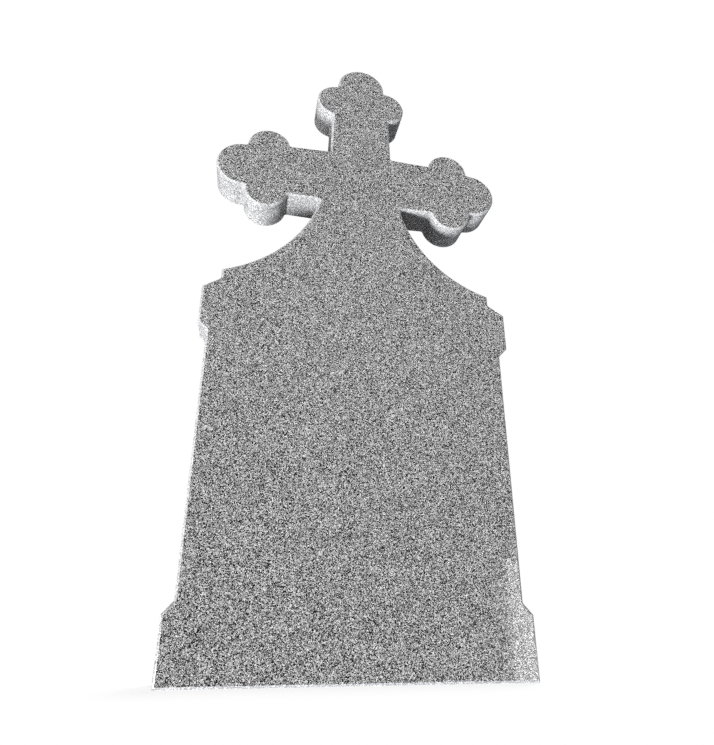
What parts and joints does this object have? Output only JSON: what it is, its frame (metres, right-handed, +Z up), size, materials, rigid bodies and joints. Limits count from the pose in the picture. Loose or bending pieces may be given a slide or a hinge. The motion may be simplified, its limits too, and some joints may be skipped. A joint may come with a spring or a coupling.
{
  "type": "granite headstone",
  "caption": "Upright granite headstone, a single slab with splayed base and shoulders, hollow swept neck and a trefoil-ended cross.",
  "frame": {"origin": "centre of the underside", "axes": "+Z up along the height, +X along the width, -Y out of the polished front face"},
  "size_m": [0.6058, 0.07, 1.28],
  "materials": {
    "polished_granite": "polished, light grey with fine black and white speckle"
  },
  "bodies": {
    "root": {"headstone": "polished_granite"}
  },
  "joints": []
}
